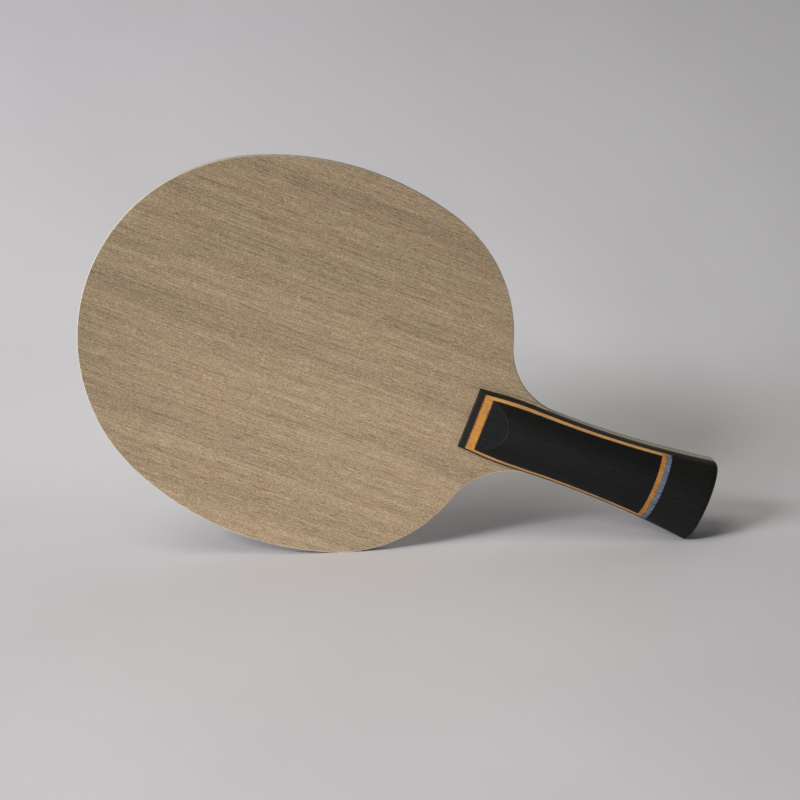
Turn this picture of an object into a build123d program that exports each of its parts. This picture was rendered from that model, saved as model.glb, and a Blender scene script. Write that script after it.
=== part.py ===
"""Bare table tennis blade with flared handle scales, standing on its edge.

Frame: the blade stands upright in the XZ plane with the handle running towards
+X and down. The front striking face looks along -Y, and Z = 0 is the surface
that it stands on. The origin is the centre of the bounding box's bottom face.

Plan coordinates are used for every outline: s runs along the axis from the tip
of the head to the butt of the handle, and u is the distance from that axis.
"""

import os
from math import acos, atan2, cos, degrees, hypot, radians, sin, sqrt, tan

from build123d import *
from build123d.topology import SkipClean

os.makedirs("parts", exist_ok=True)

# ---- Driving dimensions, in mm and degrees ------------------------------------

total_length = 254.0

# Head: three tangent arcs on each side, then the neck arc that meets the handle
tip_radius = 71.0
tip_turn = 65.0
side_radius = 114.8
side_turn = 41.8
shoulder_radius = 56.2
neck_end = 187.0

# Handle plan: a bulge, then a waist and a flare
handle_start = 154.5
bulge_radius = 175.0
bulge_end = 180.0
waist_at = 196.0
waist_half_width = 12.8
flare_radius = 395.0
butt_corner_radius = 2.2

# Handle section: each scale is half an ellipse standing on the blade
start_crown = 7.7
butt_crown = 9.8
section_count = 9

# Head end of each scale: a blunt step, then a flat ramp up to the crown
step_height = 2.3
step_edge_radius = 0.35
ramp_angle = 21.1

# Layers of a scale, as heights above the blade
base_top = 3.2
underlay_top = 4.6

# Cross strips near the butt, as distances along the axis
orange_strip_start = 230.4
blue_strip_start = 232.5
butt_block_start = 234.5

# Blade plies
outer_veneer = 0.6
fibre_layer = 0.2
inner_ply = 0.8
core_ply = 2.2
sanded_edge_radius = 0.35

# The seat left for a scale reaches this far beyond the scale's foot
seat_margin = 0.05

# Half width and height of the shapes that trim a scale, beyond its own
trim_u = 30.0
trim_height = 15.0

# ---- Plan geometry worked out from the dimensions -----------------------------


def on_circle(center, radius, angle):
    """Point on a circle at an angle in degrees."""
    return (center[0] + radius * cos(radians(angle)), center[1] + radius * sin(radians(angle)))


def angle_from(center, point):
    """Direction from a centre to a point, in degrees."""
    return degrees(atan2(point[1] - center[1], point[0] - center[0]))


# Head arcs: each centre lies on the line through the last centre and the joint
tip_center = (tip_radius, 0.0)
tip_end_angle = 180.0 - tip_turn
side_center = on_circle(tip_center, tip_radius - side_radius, tip_end_angle)
side_end_angle = tip_end_angle - side_turn
shoulder_center = on_circle(side_center, side_radius - shoulder_radius, side_end_angle)

# Handle arcs: the bulge touches the flare where it ends
flare_center = (waist_at, waist_half_width + flare_radius)


def flare_u(s):
    """Half width of the handle along the flare."""
    return flare_center[1] - sqrt(flare_radius**2 - (s - waist_at) ** 2)


bulge_end_angle = angle_from(flare_center, (bulge_end, flare_u(bulge_end)))
bulge_center = on_circle(flare_center, flare_radius + bulge_radius, bulge_end_angle)

# Neck arc: touches the flare where the neck ends, and the shoulder from outside
neck_end_u = flare_u(neck_end)
neck_end_angle = angle_from(flare_center, (neck_end, neck_end_u))
outward = on_circle((0.0, 0.0), 1.0, neck_end_angle + 180.0)
reach = (neck_end - shoulder_center[0], neck_end_u - shoulder_center[1])
reach_outward = reach[0] * outward[0] + reach[1] * outward[1]
neck_radius = (hypot(*reach) ** 2 - shoulder_radius**2) / (2.0 * (shoulder_radius - reach_outward))
neck_center = (neck_end + neck_radius * outward[0], neck_end_u + neck_radius * outward[1])
shoulder_end_angle = angle_from(shoulder_center, neck_center)
neck_start_angle = shoulder_end_angle - 180.0

# Butt corner: touches the flare and the flat end of the handle from inside
corner_s = total_length - butt_corner_radius
corner_from_flare = flare_radius + butt_corner_radius
corner_u = flare_center[1] - sqrt(corner_from_flare**2 - (corner_s - waist_at) ** 2)
butt_corner = (corner_s, corner_u)
flare_end_angle = angle_from(flare_center, butt_corner)


def half_width_at(s):
    """Half width of the handle where it meets the blade."""
    if s < bulge_end:
        return bulge_center[1] + sqrt(bulge_radius**2 - (s - bulge_center[0]) ** 2)
    return flare_u(s)


def crown_at(s):
    """Height of a scale on its centre line, which grows towards the butt."""
    return start_crown + (butt_crown - start_crown) * (s - handle_start) / (total_length - handle_start)


# Turns of the arcs that follow the tip and the side
shoulder_turn = side_end_angle - shoulder_end_angle
neck_turn = neck_end_angle - neck_start_angle
flare_turn = flare_end_angle - neck_end_angle
corner_turn = flare_end_angle + 180.0

# The handle's own start and turns, where the blade has its neck
handle_start_u = half_width_at(handle_start)
bulge_start_angle = angle_from(bulge_center, (handle_start, handle_start_u))
bulge_turn = bulge_end_angle + 180.0 - bulge_start_angle
handle_flare_turn = flare_end_angle - bulge_end_angle


# ---- How it stands: a level line touches the shoulder and the butt corner -------

contact_gap = hypot(corner_s - shoulder_center[0], corner_u - shoulder_center[1])
contact_bearing = atan2(corner_s - shoulder_center[0], corner_u - shoulder_center[1])
lean = contact_bearing - acos((shoulder_radius - butt_corner_radius) / contact_gap)

tip_height = shoulder_center[0] * sin(lean) + shoulder_center[1] * cos(lean) + shoulder_radius
left_reach = tip_radius * (cos(lean) - 1.0)
right_reach = corner_s * cos(lean) + corner_u * sin(lean) + butt_corner_radius
tip_x = -(left_reach + right_reach) / 2.0

blade_thickness = 2.0 * (outer_veneer + fibre_layer + inner_ply) + core_ply
front_face = Plane(
    origin=(tip_x, -blade_thickness / 2.0, tip_height),
    x_dir=(cos(lean), 0.0, -sin(lean)),
    z_dir=(0.0, -1.0, 0.0),
)


def across_axis(s):
    """Plane square to the axis, with its X across the handle and its Y off the blade."""
    origin = front_face.from_local_coords((s, 0.0, 0.0))
    return Plane(origin=origin, x_dir=front_face.y_dir, z_dir=front_face.x_dir)


# ---- Outlines, drawn flat here and placed later on the planes of the pieces ------

with BuildSketch() as blade_outline:
    with BuildLine():
        CenterArc(tip_center, tip_radius, 180.0, -tip_turn)
        CenterArc(side_center, side_radius, tip_end_angle, -side_turn)
        CenterArc(shoulder_center, shoulder_radius, side_end_angle, -shoulder_turn)
        CenterArc(neck_center, neck_radius, neck_start_angle, neck_turn)
        CenterArc(flare_center, flare_radius, neck_end_angle, flare_turn)
        CenterArc(butt_corner, butt_corner_radius, corner_turn, -corner_turn)
        Line((total_length, corner_u), (total_length, 0.0))
        mirror(about=Plane.XZ)
    make_face()

with BuildSketch() as handle_outline:
    with BuildLine():
        Line((handle_start, 0.0), (handle_start, handle_start_u))
        CenterArc(bulge_center, bulge_radius, bulge_start_angle, bulge_turn)
        CenterArc(flare_center, flare_radius, bulge_end_angle, handle_flare_turn)
        CenterArc(butt_corner, butt_corner_radius, corner_turn, -corner_turn)
        Line((total_length, corner_u), (total_length, 0.0))
        mirror(about=Plane.XZ)
    make_face()

# ---- Blade core, and the plies that repeat on both sides of it --------------------

with BuildPart() as core:
    with BuildSketch(front_face.offset(-(blade_thickness - core_ply) / 2.0)):
        add(blade_outline.sketch)
    extrude(amount=-core_ply)
core.part.label = "core_ply"
export_step(core.part, "parts/core_ply.step")

with BuildPart() as veneer:
    with BuildSketch(front_face):
        add(blade_outline.sketch)
    extrude(amount=-outer_veneer)
    # The rim is sanded round, but stays square under the handle scales. Their seat is
    # kept as a face of its own, so that the striking face ends where rubber would end.
    fillet(veneer.faces().sort_by(Axis.Y)[0].edges(), radius=sanded_edge_radius)
    with BuildSketch(front_face):
        add(handle_outline.sketch)
        offset(amount=seat_margin)
        add(blade_outline.sketch, mode=Mode.INTERSECT)
    with SkipClean():
        extrude(amount=-outer_veneer)

with BuildPart() as fibre:
    with BuildSketch(front_face.offset(-outer_veneer)):
        add(blade_outline.sketch)
    extrude(amount=-fibre_layer)

with BuildPart() as inner:
    with BuildSketch(front_face.offset(-outer_veneer - fibre_layer)):
        add(blade_outline.sketch)
    extrude(amount=-inner_ply)

# ---- Handle scale: the whole crowned body that its layers are cut from ------------

section_gap = (total_length - handle_start) / (section_count - 1)
ramp_run = trim_height / tan(radians(ramp_angle))

with BuildPart() as scale:
    for index in range(section_count):
        s = handle_start + index * section_gap
        with BuildSketch(across_axis(s)):
            with BuildLine():
                EllipticalCenterArc((0.0, 0.0), half_width_at(s), crown_at(s), arc_size=180.0)
                Line((-half_width_at(s), 0.0), (half_width_at(s), 0.0))
            make_face()
    loft()
    # The butt is rounded all along its crowned edge, flush with the blade's corners
    butt_end = scale.faces().filter_by(GeomType.PLANE).sort_by(Axis.X)[-1]
    fillet(butt_end.edges().sort_by(Axis.Y)[0], radius=butt_corner_radius)
    # The ramp at the head end rises from a blunt step
    with BuildSketch(Plane(front_face.origin, front_face.x_dir, -front_face.y_dir)):
        with BuildLine():
            Polyline(
                (handle_start, step_height),
                (handle_start + ramp_run, step_height + trim_height),
                (handle_start, step_height + trim_height),
                close=True,
            )
        make_face()
    extrude(amount=trim_u, both=True, mode=Mode.SUBTRACT)
    # The step's edges are eased, apart from the one on the blade
    step_face = scale.faces().filter_by(GeomType.PLANE).sort_by(Axis.X)[0]
    fillet(step_face.edges().sort_by(Axis.Y)[:-1], radius=step_edge_radius)

# ---- Pieces of one scale, each a slab of it: heights, then places along the axis ---

scale_layers = {
    "handle_base": (0.0, base_top, handle_start, total_length),
    "underlay_veneer": (base_top, underlay_top, handle_start, orange_strip_start),
    "centre_block": (underlay_top, trim_height, handle_start, orange_strip_start),
    "orange_strip": (base_top, trim_height, orange_strip_start, blue_strip_start),
    "blue_strip": (base_top, trim_height, blue_strip_start, butt_block_start),
    "butt_block": (base_top, trim_height, butt_block_start, total_length),
}

front_pieces = {
    "outer_veneer": veneer.part,
    "fibre_layer": fibre.part,
    "inner_ply": inner.part,
}
for name, (bottom, top, start, end) in scale_layers.items():
    with BuildPart() as layer:
        add(scale.part)
        with BuildSketch(front_face.offset(bottom)):
            with Locations((start, 0.0)):
                Rectangle(end - start, 2.0 * trim_u, align=(Align.MIN, Align.CENTER))
        extrude(amount=top - bottom, mode=Mode.INTERSECT)
    front_pieces[name] = layer.part

# ---- The back is the front's mirror image -----------------------------------------

for name, front_piece in front_pieces.items():
    front_piece.label = f"{name}_front"
    export_step(front_piece, f"parts/{name}_front.step")
    # No builder here, because adding to one would merge the seat with the striking face
    back_piece = mirror(front_piece, about=Plane.XZ)
    back_piece.label = f"{name}_back"
    export_step(back_piece, f"parts/{name}_back.step")
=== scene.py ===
"""Looks for the bare table tennis blade: grain, dyed wood, backdrop, light and camera.

Everything is in metres in the row's frame. Materials work in grain space, which
turns the frame so that X runs along the handle's axis towards the butt, Y goes
through the blade and Z runs across the handle.
"""
import math

import bpy
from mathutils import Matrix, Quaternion, Vector


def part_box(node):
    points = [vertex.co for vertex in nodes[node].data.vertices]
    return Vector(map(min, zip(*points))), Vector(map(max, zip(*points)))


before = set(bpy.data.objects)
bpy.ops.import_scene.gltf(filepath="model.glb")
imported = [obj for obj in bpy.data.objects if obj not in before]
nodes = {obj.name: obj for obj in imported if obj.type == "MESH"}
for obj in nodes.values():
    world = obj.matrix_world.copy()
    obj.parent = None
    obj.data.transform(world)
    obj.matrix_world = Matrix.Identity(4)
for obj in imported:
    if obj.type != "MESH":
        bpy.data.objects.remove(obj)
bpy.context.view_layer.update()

MM = 0.001

# ---- Places on the handle, read from the cut faces of its pieces -------------------------


def flat_place(node, chosen):
    """Mean normal and mean centre of the polygons of a node that chosen() accepts."""
    normal = Vector()
    middle = Vector()
    area = 0.0
    for polygon in nodes[node].data.polygons:
        if chosen(polygon.normal):
            normal += polygon.normal * polygon.area
            middle += polygon.center * polygon.area
            area += polygon.area
    return normal.normalized(), middle / area


def ends_towards_butt(normal):
    """Whether a face is square to the blade's faces and looks along the handle to its butt."""
    return abs(normal.y) < 1e-3 and normal.x > 0.5


# Grain space starts at the end of the blue strip, which is square to the handle's axis
AXIS, AXIS_POINT = flat_place("blue_strip_front", ends_towards_butt)
AXIS_POINT.y = 0.0
LEAN = math.atan2(-AXIS.z, AXIS.x)
ACROSS = Vector((-AXIS.z, 0.0, AXIS.x))


def in_grain(vector):
    """A direction turned into grain space."""
    return Vector((vector.dot(AXIS), vector.y, vector.dot(ACROSS)))


def along(node, end):
    """Grain space X of a node's nearer (0) or further (1) end."""
    reach = [(v.co - AXIS_POINT).dot(AXIS) for v in nodes[node].data.vertices]
    return max(reach) if end else min(reach)


def layer_depths(node):
    """How far a front layer's inner and outer faces are from the blade's middle plane."""
    low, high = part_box(node)
    return abs(high.y), abs(low.y)


def looks_at_head(normal):
    """Whether a face looks back along the handle to the head, as the ramp does."""
    return normal.dot(AXIS) < -0.2


# The ramp cut across the head end of the front scale; the back one is its mirror image
ramp_normal, ramp_point = flat_place("centre_block_front", looks_at_head)
RAMP_NORMAL = in_grain(ramp_normal)
RAMP_NORMAL.y = abs(RAMP_NORMAL.y)
RAMP_POINT = in_grain(ramp_point - AXIS_POINT)
RAMP_POINT.y = abs(RAMP_POINT.y)

# ---- A short way to write shader graphs --------------------------------------------------

BEVEL_SAMPLES = 6


class Graph:
    """One material's node tree; most methods return the output socket that they made."""

    def __init__(self, name):
        self.material = bpy.data.materials.new(name)
        self.material.use_nodes = True
        self.tree = self.material.node_tree
        self.shader = self.tree.nodes["Principled BSDF"]

    def make(self, kind, inputs, **settings):
        """A new node; each input is given a value, or is linked if it gets a socket."""
        node = self.tree.nodes.new(kind)
        for key, value in settings.items():
            setattr(node, key, value)
        for key, value in inputs.items():
            if isinstance(value, bpy.types.NodeSocket):
                self.tree.links.new(value, node.inputs[key])
            else:
                node.inputs[key].default_value = value
        return node

    def math(self, operation, a, b=0.0, c=0.0):
        return self.make("ShaderNodeMath", {0: a, 1: b, 2: c}, operation=operation).outputs[0]

    def vector_math(self, operation, inputs):
        return self.make("ShaderNodeVectorMath", inputs, operation=operation)

    def both(self, a, b):
        return self.math("MULTIPLY", a, b)

    def grain_space(self):
        """The surface's own place, turned so that X runs along the handle."""
        place = self.make("ShaderNodeTexCoord", {}).outputs["Object"]
        moved = self.vector_math("ADD", {0: place, 1: -AXIS_POINT})
        turned = self.make(
            "ShaderNodeMapping", {"Vector": moved.outputs[0], "Rotation": (0.0, -LEAN, 0.0)}
        )
        return turned.outputs[0]

    def split(self, vector):
        return self.make("ShaderNodeSeparateXYZ", {0: vector}).outputs

    def rounded(self, radius):
        """The surface's normal, turned towards the next face near an edge."""
        bevel = self.make("ShaderNodeBevel", {"Radius": radius}, samples=BEVEL_SAMPLES)
        return bevel.outputs[0]

    def facing(self, direction, normal=None):
        """How far a normal looks along a direction of the row's frame, -1 to 1."""
        normal = normal or self.make("ShaderNodeNewGeometry", {}).outputs["Normal"]
        return self.vector_math("DOT_PRODUCT", {0: normal, 1: direction}).outputs["Value"]

    def scaled(self, vector, scale):
        """The vector times a scale for each axis, in repeats per metre."""
        return self.vector_math("MULTIPLY", {0: vector, 1: scale}).outputs[0]

    def noise_node(self, vector, scale, detail, roughness):
        place = self.scaled(vector, scale)
        values = {"Vector": place, "Scale": 1.0, "Detail": detail, "Roughness": roughness}
        return self.make("ShaderNodeTexNoise", values)

    def noise(self, vector, scale, detail=2.0, roughness=0.5):
        return self.noise_node(vector, scale, detail, roughness).outputs["Fac"]

    def wavy(self, vector, scale, reach):
        """The vector moved about by up to half of reach, so that lines in it wander."""
        wander = self.noise_node(vector, scale, detail=2.0, roughness=0.5).outputs["Color"]
        centred = self.vector_math("ADD", {0: wander, 1: (-0.5, -0.5, -0.5)}).outputs[0]
        return self.vector_math("MULTIPLY_ADD", {0: centred, 1: reach, 2: vector}).outputs[0]

    def strokes(self, vector, scale, size, share):
        """1 on short strokes, in the cells of a stretched grid whose random grey is under share."""
        values = {"Vector": self.scaled(vector, scale), "Scale": 1.0}
        cells = self.make("ShaderNodeTexVoronoi", values)
        stroke = self.between(cells.outputs["Distance"], size, 0.5 * size)
        return self.both(stroke, self.math("LESS_THAN", cells.outputs["Color"], share))

    def between(self, value, low, high, start=0.0, end=1.0):
        """start below low, end above high, smooth in between; low may be above high."""
        values = {"Value": value, "From Min": low, "From Max": high, "To Min": start, "To Max": end}
        node = self.make("ShaderNodeMapRange", values, interpolation_type="SMOOTHSTEP")
        return node.outputs["Result"]

    def blend(self, factor, a, b):
        """Colour a where factor is 0, colour b where it is 1; 6 and 7 are the colour inputs."""
        return self.make("ShaderNodeMix", {0: factor, 6: a, 7: b}, data_type="RGBA").outputs[2]

    def stain(self, color, mask, tint, amount):
        """The colour taken towards a tint by an amount, where mask is 1."""
        return self.blend(self.both(mask, amount), color, tint)

    def shade(self, color, value, darkest, lightest, low=0.3, high=0.7):
        """The colour made darker or lighter as value goes from low to high."""
        level = self.between(value, low, high, darkest, lightest)
        channels = color[:3] if isinstance(color, tuple) else color
        return self.vector_math("SCALE", {0: channels, "Scale": level}).outputs[0]

    def bump(self, height, distance, strength=1.0):
        values = {"Height": height, "Distance": distance, "Strength": strength}
        return self.make("ShaderNodeBump", values).outputs[0]

    def finish(self, color, roughness, normal, **constants):
        """The material, with its graph linked and its constants set on the shader's sockets."""
        self.tree.links.new(color, self.shader.inputs["Base Color"])
        self.tree.links.new(roughness, self.shader.inputs["Roughness"])
        self.tree.links.new(normal, self.shader.inputs["Normal"])
        for key, value in constants.items():
            self.shader.inputs[key.replace("_", " ")].default_value = value
        return self.material


def rgb(red, green, blue):
    """A colour given as it looks on screen, 0 to 255, as linear values."""
    channels = []
    for level in (red / 255.0, green / 255.0, blue / 255.0):
        channels.append(level / 12.92 if level < 0.04045 else ((level + 0.055) / 1.055) ** 2.4)
    return (*channels, 1.0)


# ---- Bare wood ---------------------------------------------------------------------------

# How far the painted highlight and painted shade along an edge reach, and the directions of the
# row's frame they go by
PAINTED_EDGE_REACH = 0.5 * MM
THROUGH = (0.0, 1.0, 0.0)
LOWER_LEFT = (-0.8, 0.0, -0.6)
UPPER_RIGHT = (0.8, 0.0, 0.6)


def limba(name):
    """Bare face veneer: soft bands and patches, fine fibres, pale flecks, dark lines and pores."""
    g = Graph(name)
    space = g.wavy(g.grain_space(), (9.0, 30.0, 30.0), (0.0, 0.0, 1.2 * MM))
    bands = g.noise(space, (4.0, 60.0, 110.0))
    narrow = g.noise(space, (8.0, 60.0, 300.0), detail=1.0)
    patches = g.noise(space, (20.0, 60.0, 120.0), detail=1.0)
    fibres = g.noise(space, (80.0, 900.0, 1300.0), roughness=0.6)
    # The finest grain, from long threads to round grit, is under a millimetre across
    threads = g.noise(space, (24.0, 1500.0, 2500.0), detail=0.0)
    hairs = g.noise(space, (120.0, 1500.0, 2700.0), detail=0.0)
    fuzz = g.noise(space, (650.0, 2200.0, 2500.0), detail=0.0)
    grit = g.noise(space, (1900.0, 2300.0, 2700.0), detail=0.0)
    color = g.blend(g.between(patches, 0.4, 0.62), rgb(163, 143, 114), rgb(165, 143, 115))
    color = g.shade(color, bands, 0.92, 1.06, low=0.36, high=0.62)
    color = g.shade(color, narrow, 0.97, 1.03)
    color = g.shade(color, threads, 0.87, 1.11)
    color = g.shade(color, hairs, 0.90, 1.09)
    color = g.shade(color, fuzz, 0.92, 1.08)
    color = g.shade(color, grit, 0.79, 1.21)
    # Pores are darkest in the dark bands; lines are longer and fainter
    pores = g.strokes(space, (210.0, 1900.0, 1900.0), size=0.42, share=0.42)
    crowded = g.between(bands, 0.36, 0.6, start=1.0, end=0.55)
    lines = g.between(g.noise(space, (38.0, 1200.0, 1700.0), detail=1.0), 0.64, 0.72)
    flecks = g.strokes(space, (700.0, 1700.0, 1700.0), size=0.32, share=0.35)
    color = g.stain(color, flecks, rgb(220, 194, 156), 0.55)
    color = g.stain(color, lines, rgb(112, 90, 64), 0.4)
    color = g.stain(color, g.both(pores, crowded), rgb(92, 74, 52), 0.75)
    # The sanded rim is paler than the face. Their common edge has a painted highlight round the
    # lower left and painted shade round the upper right
    rounded = g.rounded(PAINTED_EDGE_REACH)
    rim = g.between(g.math("ABSOLUTE", g.facing(THROUGH)), 0.99, 0.90)
    edge = g.between(g.math("ABSOLUTE", g.facing(THROUGH, rounded)), 0.98, 0.85)
    # Painted highlight on the edge's lower left side, painted shade on its upper right side
    wear_and_painted_highlight = g.between(g.facing(LOWER_LEFT, rounded), -0.1, 0.35)
    painted_shade_side = g.between(g.facing(UPPER_RIGHT, rounded), 0.1, 0.45)
    pale = g.shade(rgb(226, 220, 196), fibres, 0.80, 1.10)
    color = g.stain(color, g.both(edge, wear_and_painted_highlight), rgb(252, 248, 228), 0.9)
    color = g.stain(color, rim, pale, 0.9)
    color = g.stain(color, g.both(edge, painted_shade_side), rgb(84, 74, 56), 0.6)
    roughness = g.between(fibres, 0.2, 0.8, 0.72, 0.56)
    dents = g.math("SUBTRACT", g.math("MULTIPLY_ADD", fibres, 1.0, fuzz), pores)
    normal = g.bump(dents, distance=0.04 * MM, strength=0.7)
    return g.finish(color, roughness, normal, Specular_IOR_Level=0.3)


def ply_wood(name, color, stretch):
    """Sanded edge of a ply: fibres and dark rays along its own grain, dots where seen end on."""
    g = Graph(name)
    space = g.grain_space()
    finer = tuple(1.9 * scale for scale in stretch)
    fibres = g.noise(space, stretch, detail=3.0, roughness=0.6)
    rays = g.noise(space, finer, detail=1.0)
    smudges = g.noise(space, (90.0, 90.0, 90.0))
    color = g.shade(color, fibres, 0.72, 1.15)
    color = g.stain(color, g.between(rays, 0.62, 0.72), rgb(120, 108, 84), 0.45)
    color = g.shade(color, smudges, 0.88, 1.06)
    roughness = g.between(fibres, 0.2, 0.8, 0.78, 0.62)
    normal = g.bump(fibres, distance=0.05 * MM, strength=0.6)
    return g.finish(color, roughness, normal, Specular_IOR_Level=0.3)


def fibre_sheet(name):
    """Thin dark fibre layer soaked in glue, seen only as a line in the rim."""
    g = Graph(name)
    space = g.grain_space()
    threads = g.noise(space, (1200.0, 400.0, 1200.0), detail=1.0)
    wear_and_painted_highlight = g.noise(space, (160.0, 160.0, 160.0))
    color = g.shade(rgb(74, 69, 60), threads, 0.6, 1.3)
    color = g.stain(color, g.between(wear_and_painted_highlight, 0.52, 0.7), rgb(130, 124, 108), 0.45)
    roughness = g.between(threads, 0.2, 0.8, 0.7, 0.5)
    normal = g.bump(threads, distance=0.03 * MM, strength=0.6)
    return g.finish(color, roughness, normal, Specular_IOR_Level=0.4)


# ---- Dyed wood of the handle -------------------------------------------------------------

# Depths below the ramp's plane where its own tone fades, and its line of painted highlight starts
# and ends
RAMP_FADE = (0.012 * MM, 0.004 * MM)
LINE_STARTS = (0.004 * MM, 0.02 * MM)
LINE_ENDS = (0.16 * MM, 0.06 * MM)

# The least and most that a stained or ragged border reaches into a layer
GLUE_REACH = (0.10 * MM, 0.24 * MM)
RAGGED_REACH = (0.02 * MM, 0.22 * MM)

# How far past its level a noise goes until a nick is at its darkest
NICK_FADE = 0.05


def black_wood(name, tone, streak_tone, ramp_tone):
    """Black dyed wood: faint streaks, and a greyer, speckled ramp with a painted highlight, partly
    wear, round its edge.
    """
    g = Graph(name)
    space = g.grain_space()
    streaks = g.noise(space, (35.0, 1300.0, 1300.0), detail=3.0, roughness=0.6)
    marks = g.strokes(space, (160.0, 1300.0, 1300.0), size=0.3, share=0.4)
    color = g.shade(tone, streaks, 0.75, 1.25)
    color = g.stain(color, marks, streak_tone, 0.5)
    # Depth below the plane of the ramp, which is cut across the layers
    parts = g.split(space)
    depth = g.both(g.math("ABSOLUTE", parts["Y"]), -RAMP_NORMAL.y)
    depth = g.math("MULTIPLY_ADD", parts["X"], -RAMP_NORMAL.x, depth)
    depth = g.math("ADD", depth, RAMP_NORMAL.dot(RAMP_POINT))
    on_ramp = g.between(depth, *RAMP_FADE)
    speckle = g.noise(space, (600.0, 1500.0, 1500.0), detail=2.0, roughness=0.7)
    pits = g.strokes(space, (420.0, 1100.0, 1100.0), size=0.32, share=0.4)
    ground = g.shade(ramp_tone, speckle, 0.6, 1.5)
    ground = g.stain(ground, pits, rgb(12, 12, 12), 0.6)
    specks = g.strokes(space, (1000.0, 1700.0, 1700.0), size=0.34, share=0.14)
    ground = g.stain(ground, specks, rgb(96, 94, 96), 0.3)
    color = g.blend(on_ramp, color, ground)
    # A thin painted highlight, partly wear, follows the ramp's edge, more in some places than in
    # others
    edge = g.both(g.between(depth, *LINE_STARTS), g.between(depth, *LINE_ENDS))
    patchy = g.between(g.noise(space, (260.0, 260.0, 260.0)), 0.4, 0.6, 0.35, 1.0)
    color = g.stain(color, g.both(edge, patchy), rgb(74, 73, 75), 0.55)
    roughness = g.between(streaks, 0.2, 0.8, 0.62, 0.5)
    roughness = g.math("ADD", roughness, g.both(on_ramp, 0.12))
    height = g.math("MULTIPLY_ADD", g.both(on_ramp, speckle), 1.5, streaks)
    normal = g.bump(height, distance=0.03 * MM, strength=0.6)
    return g.finish(color, roughness, normal, Specular_IOR_Level=0.2)


def orange_underlay(name):
    """Orange veneer under the centre block: bright where the ramp cuts it, tan on its sides."""
    g = Graph(name)
    space = g.grain_space()
    fibres = g.noise(space, (140.0, 1400.0, 1400.0), detail=3.0, roughness=0.6)
    grit = g.noise(space, (900.0, 1600.0, 1600.0), detail=1.0)
    pits = g.strokes(space, (500.0, 1300.0, 1300.0), size=0.36, share=0.42)
    bright = g.shade(rgb(185, 126, 50), grit, 0.85, 1.12)
    bright = g.shade(bright, fibres, 0.9, 1.08)
    bright = g.stain(bright, pits, rgb(176, 106, 40), 0.5)
    side = g.shade(rgb(208, 157, 98), fibres, 0.82, 1.12)
    side = g.stain(side, pits, rgb(130, 88, 50), 0.4)
    on_ramp = g.between(g.facing(AXIS), -0.15, -0.25)
    color = g.blend(on_ramp, side, bright)
    # Glue stains the wood next to both of the veneer's faces
    inner, outer = layer_depths("underlay_veneer_front")
    depth = g.math("ABSOLUTE", g.split(space)["Y"])
    ragged = g.noise(space, (1500.0, 0.0, 1500.0), detail=1.0)
    near_inner = g.math("SUBTRACT", depth, inner)
    near_outer = g.math("SUBTRACT", outer, depth)
    nearest = g.math("MINIMUM", near_inner, near_outer)
    stained = g.math("LESS_THAN", nearest, g.between(ragged, 0.35, 0.7, *GLUE_REACH))
    color = g.stain(color, stained, rgb(66, 46, 30), 0.8)
    roughness = g.between(fibres, 0.2, 0.8, 0.6, 0.48)
    normal = g.bump(grit, distance=0.03 * MM, strength=0.6)
    return g.finish(color, roughness, normal, Specular_IOR_Level=0.35)


def cross_strip(name, node, ground, low_tone, nick_tone, nick_level, nick_reach):
    """Thin veneer across the handle: fibres, ragged borders, and dark nicks from one of them.

    The nicks are where a noise passes nick_level, up to nick_reach from the butt's side.
    """
    g = Graph(name)
    space = g.grain_space()
    x = g.split(space)["X"]
    fibres = g.noise(space, (500.0, 1300.0, 1300.0), detail=2.0, roughness=0.6)
    ragged = g.noise(space, (0.0, 1500.0, 1500.0), detail=2.0, roughness=0.7)
    nicks = g.noise(space, (60.0, 1900.0, 1900.0), detail=0.0)
    patches = g.noise(space, (200.0, 300.0, 300.0))
    color = g.shade(ground, fibres, 0.78, 1.16)
    color = g.stain(color, g.between(patches, 0.45, 0.65), low_tone, 0.5)
    from_start = g.math("SUBTRACT", x, along(node, 0))
    from_end = g.math("SUBTRACT", along(node, 1), x)
    nearest = g.math("MINIMUM", from_start, from_end)
    frayed = g.math("LESS_THAN", nearest, g.between(ragged, 0.35, 0.7, *RAGGED_REACH))
    color = g.stain(color, frayed, nick_tone, 0.7)
    deep = g.between(nicks, nick_level, nick_level + NICK_FADE)
    near_butt = g.between(from_end, nick_reach, 0.5 * nick_reach)
    color = g.stain(color, g.both(deep, near_butt), nick_tone, 0.75)
    roughness = g.between(fibres, 0.2, 0.8, 0.6, 0.48)
    normal = g.bump(fibres, distance=0.03 * MM, strength=0.6)
    return g.finish(color, roughness, normal, Specular_IOR_Level=0.35)


ALONG_GRAIN = (90.0, 1500.0, 1500.0)
CROSS_GRAIN = (1500.0, 1500.0, 90.0)

face_wood = limba("limba_veneer")
inner_wood = ply_wood("inner_ply_wood", rgb(172, 166, 152), CROSS_GRAIN)
core_wood = ply_wood("core_ply_wood", rgb(166, 160, 147), ALONG_GRAIN)
fibre = fibre_sheet("dark_fibre")
base_wood = black_wood("black_dyed_base", rgb(38, 34, 27), rgb(58, 50, 39), rgb(25, 22, 19))
block_wood = black_wood("black_dyed_block", rgb(20, 20, 20), rgb(42, 41, 38), rgb(15, 14, 16))
butt_wood = black_wood("black_dyed_butt", rgb(24, 24, 23), rgb(48, 46, 43), rgb(24, 24, 23))
underlay = orange_underlay("orange_dyed_underlay")
orange = cross_strip(
    "orange_dyed_strip", "orange_strip_front",
    rgb(190, 132, 64), rgb(166, 110, 50), rgb(82, 50, 24),
    nick_level=0.66, nick_reach=1.0 * MM,
)
blue = cross_strip(
    "blue_grey_dyed_strip", "blue_strip_front",
    rgb(114, 126, 146), rgb(94, 104, 122), rgb(28, 30, 36),
    nick_level=0.58, nick_reach=1.3 * MM,
)

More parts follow.
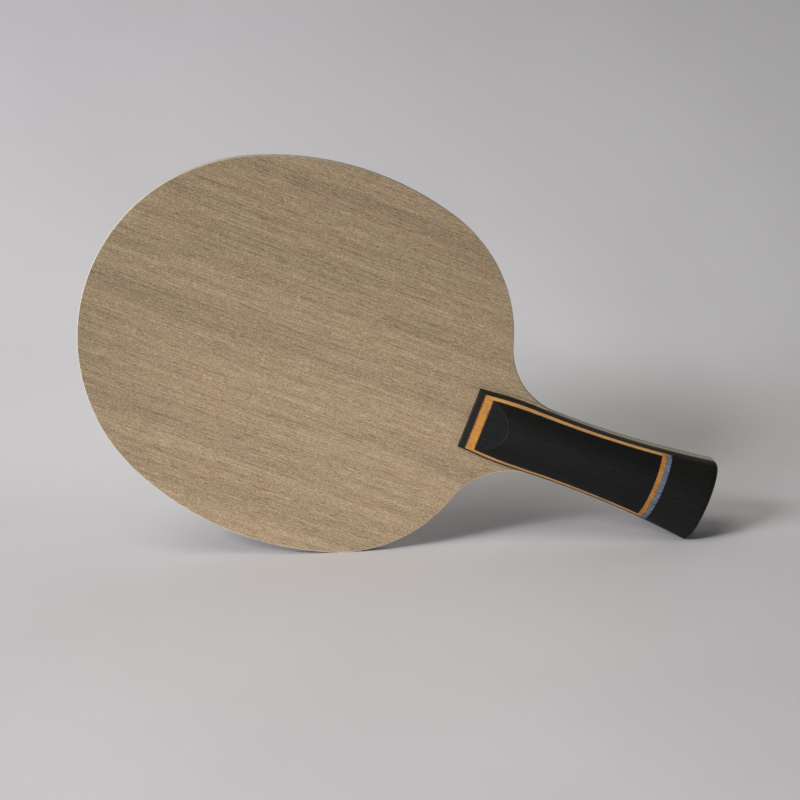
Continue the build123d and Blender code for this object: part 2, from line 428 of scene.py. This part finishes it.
MATERIALS = {
    "outer_veneer": face_wood,
    "fibre_layer": fibre,
    "inner_ply": inner_wood,
    "core_ply": core_wood,
    "handle_base": base_wood,
    "underlay_veneer": underlay,
    "centre_block": block_wood,
    "orange_strip": orange,
    "blue_strip": blue,
    "butt_block": butt_wood,
}
for name, node in nodes.items():
    for kind, material in MATERIALS.items():
        if name.startswith(kind):
            node.data.materials.clear()
            node.data.materials.append(material)

# ---- Backdrop: a pale sheet that lies flat, then sweeps up into a wall -------------------

BEND_STEPS = 32


def backdrop(front, bend_start, bend_radius, height, half_width):
    """The sheet, whose profile in Y and Z is a floor, a quarter of a circle and a wall."""
    profile = [(-front, 0.0), (bend_start, 0.0)]
    for step in range(1, BEND_STEPS + 1):
        turn = math.radians(90.0) * step / BEND_STEPS
        profile.append((
            bend_start + bend_radius * math.sin(turn),
            bend_radius * (1.0 - math.cos(turn)),
        ))
    profile.append((bend_start + bend_radius, height))
    vertices = [(side * half_width, y, z) for side in (-1.0, 1.0) for y, z in profile]
    count = len(profile)
    faces = [(i, count + i, count + i + 1, i + 1) for i in range(count - 1)]
    mesh = bpy.data.meshes.new("backdrop")
    mesh.from_pydata(vertices, [], faces)
    mesh.shade_smooth()
    sheet = bpy.data.objects.new("backdrop", mesh)
    bpy.context.scene.collection.objects.link(sheet)
    return sheet


def paper():
    """Matt paper, whose back doesn't hide the object from a camera behind it."""
    g = Graph("backdrop_paper")
    place = g.make("ShaderNodeTexCoord", {}).outputs["Object"]
    mottle = g.noise(place, (6.0, 6.0, 6.0), detail=4.0)
    fine = g.noise(place, (900.0, 900.0, 900.0))
    color = g.shade(rgb(204, 202, 205), mottle, 0.97, 1.03)
    roughness = g.between(mottle, 0.2, 0.8, 0.75, 0.85)
    normal = g.bump(fine, distance=0.02 * MM, strength=0.3)
    g.finish(color, roughness, normal, Specular_IOR_Level=0.2)
    behind = g.make("ShaderNodeNewGeometry", {}).outputs["Backfacing"]
    clear = g.make("ShaderNodeBsdfTransparent", {}).outputs[0]
    mixed = g.make("ShaderNodeMixShader", {0: behind, 1: g.shader.outputs[0], 2: clear}).outputs[0]
    g.tree.links.new(mixed, g.tree.nodes["Material Output"].inputs["Surface"])
    return g.material


sheet = backdrop(front=0.6, bend_start=0.06, bend_radius=0.22, height=1.6, half_width=1.8)
sheet.data.materials.append(paper())

# ---- Light and camera --------------------------------------------------------------------

# What the soft boxes point at, and what the low spot points at
LIT_POINT = Vector((0.0, 0.05, 0.05))
FOOT = Vector((-0.03, 0.0, -0.02))


def place_at(azimuth, elevation, distance):
    """A place round the object; the azimuth goes from straight in front towards the left."""
    turn = math.radians(azimuth)
    rise = math.radians(elevation)
    return distance * Vector((
        -math.cos(rise) * math.sin(turn),
        -math.cos(rise) * math.cos(turn),
        math.sin(rise),
    ))


def lamp(name, kind, place, target, power, color):
    """A lamp's data; the lamp stands at a place, points at a target and isn't seen itself."""
    data = bpy.data.lights.new(name, kind)
    data.energy = power
    data.color = color
    light = bpy.data.objects.new(name, data)
    light.location = place
    light.rotation_mode = "QUATERNION"
    light.rotation_quaternion = (target - place).to_track_quat("-Z", "Y")
    light.visible_camera = False
    bpy.context.scene.collection.objects.link(light)
    return data


def soft_box(name, azimuth, elevation, distance, width, power, color):
    """A square area lamp, its angles in degrees and its width in metres."""
    data = lamp(name, "AREA", place_at(azimuth, elevation, distance), LIT_POINT, power, color)
    data.size = width


# The powers were fitted to the brightness in the photo
soft_box("room", 45.0, 60.0, distance=3.0, width=1.5, power=31.5, color=(1.0, 0.99, 0.86))
soft_box("window", 60.0, 25.0, distance=3.0, width=0.6, power=27.5, color=(0.93, 0.95, 1.0))
soft_box("key", 45.0, 35.0, distance=1.2, width=0.2, power=5.4, color=(0.96, 0.96, 1.0))
# A low spot lights the bottom of the face, as the table's own glow does in the photo
glow_place = place_at(0.0, 5.0, 0.9)
glow = lamp("table_glow", "SPOT", glow_place, FOOT, power=10.0, color=(1.0, 0.97, 0.93))
glow.spot_size = math.radians(20.0)
glow.spot_blend = 1.0
glow.shadow_soft_size = 0.04

# The world shows as a pale studio beyond the backdrop, but lights nothing
world = bpy.data.worlds.new("studio")
world.use_nodes = True
sky = world.node_tree.nodes["Background"]
seen = world.node_tree.nodes.new("ShaderNodeLightPath").outputs["Is Camera Ray"]
sky.inputs["Color"].default_value = rgb(188, 186, 187)
world.node_tree.links.new(seen, sky.inputs["Strength"])
bpy.context.scene.world = world
bpy.context.scene.view_settings.view_transform = "Standard"

# The camera was fitted to the outline in the photo
CAMERA_PLACE = Vector((-0.02445, -0.5616, 0.19459))
CAMERA_HEADING = math.radians(2.32)
CAMERA_PITCH = math.radians(-13.45)
CAMERA_ROLL = math.radians(-2.04)
CAMERA_TURN = math.radians(-0.25)

camera_data = bpy.data.cameras.new("camera")
camera_data.sensor_width = 36.0
camera_data.lens = 67.1
camera_data.clip_start = 0.01
camera = bpy.data.objects.new("camera", camera_data)
camera.rotation_mode = "QUATERNION"
camera.location = CAMERA_PLACE
camera.rotation_quaternion = (
    Quaternion((0.0, 1.0, 0.0), CAMERA_TURN)
    @ Quaternion((0.0, 0.0, 1.0), -CAMERA_HEADING)
    @ Quaternion((1.0, 0.0, 0.0), math.radians(90.0) + CAMERA_PITCH)
    @ Quaternion((0.0, 0.0, 1.0), CAMERA_ROLL)
)
bpy.context.scene.collection.objects.link(camera)
bpy.context.scene.camera = camera
